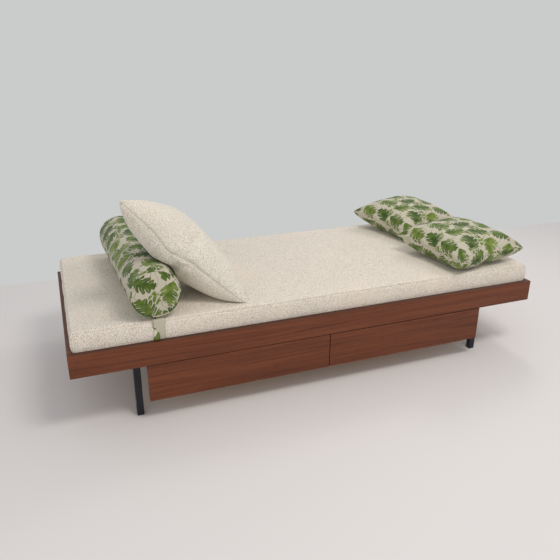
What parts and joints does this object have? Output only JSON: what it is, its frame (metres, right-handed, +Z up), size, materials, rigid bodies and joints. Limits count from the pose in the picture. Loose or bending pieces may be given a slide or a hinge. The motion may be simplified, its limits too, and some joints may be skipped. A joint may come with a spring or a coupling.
{
  "type": "daybed",
  "caption": "Low teak daybed on black tube legs with under-bed drawers, a boucle mattress, a bolster on a strap and loose cushions.",
  "frame": {"origin": "on the floor, under the middle of the bed frame", "axes": "+X along the bed to the pillow end, +Y to the back, drawers open towards -Y, +Z up"},
  "size_m": [1.94, 0.84, 0.8153],
  "materials": {
    "teak": "satin",
    "beech": "matte",
    "plywood": "matte",
    "black_steel": "satin",
    "glide_plastic": "matte",
    "zinc_steel": "satin",
    "boucle": "matte",
    "leaf_print": "matte",
    "filling": "matte"
  },
  "bodies": {
    "root": {"back_ledger": "beech", "back_left_corner_block": "beech", "back_left_glide": "glide_plastic", "back_left_leg": "black_steel", "back_pillow_cover": "leaf_print", "back_pillow_pad": "filling", "back_rail": "teak", "back_right_corner_block": "beech", "back_right_glide": "glide_plastic", "back_right_leg": "black_steel", "bolster_core": "filling", "bolster_cover": "leaf_print", "bolster_strap": "leaf_print", "centre_beam": "beech", "front_ledger": "beech", "front_left_corner_block": "beech", "front_left_glide": "glide_plastic", "front_left_leg": "black_steel", "front_pillow_cover": "leaf_print", "front_pillow_pad": "filling", "front_rail": "teak", "front_right_corner_block": "beech", "front_right_glide": "glide_plastic", "front_right_leg": "black_steel", "front_stretcher": "beech", "housing_back_panel": "plywood", "housing_divider": "plywood", "left_bearer": "beech", "left_cross_tube": "black_steel", "left_end_rail": "teak", "left_housing_side": "teak", "left_inner_runner": "beech", "left_outer_runner": "beech", "leg_bolts": "zinc_steel", "long_cushion_cover": "boucle", "long_cushion_pad": "filling", "mattress_core": "filling", "mattress_cover": "boucle", "rear_stretcher": "beech", "right_bearer": "beech", "right_cross_tube": "black_steel", "right_end_rail": "teak", "right_housing_side": "teak", "right_inner_runner": "beech", "right_outer_runner": "beech", "slats": "beech", "wood_screws": "zinc_steel"},
    "left_drawer": {"left_drawer_back": "beech", "left_drawer_bottom": "plywood", "left_drawer_dowels": "beech", "left_drawer_front": "teak", "left_drawer_inner_side": "beech", "left_drawer_outer_side": "beech"},
    "right_drawer": {"right_drawer_back": "beech", "right_drawer_bottom": "plywood", "right_drawer_dowels": "beech", "right_drawer_front": "teak", "right_drawer_inner_side": "beech", "right_drawer_outer_side": "beech"}
  },
  "joints": [
    {"name": "left_drawer_slide", "type": "slide", "parent": "root", "child": "left_drawer", "axis": [0, -1, 0], "range_m": [0, 0.38]},
    {"name": "right_drawer_slide", "type": "slide", "parent": "root", "child": "right_drawer", "axis": [0, -1, 0], "range_m": [0, 0.38]}
  ]
}
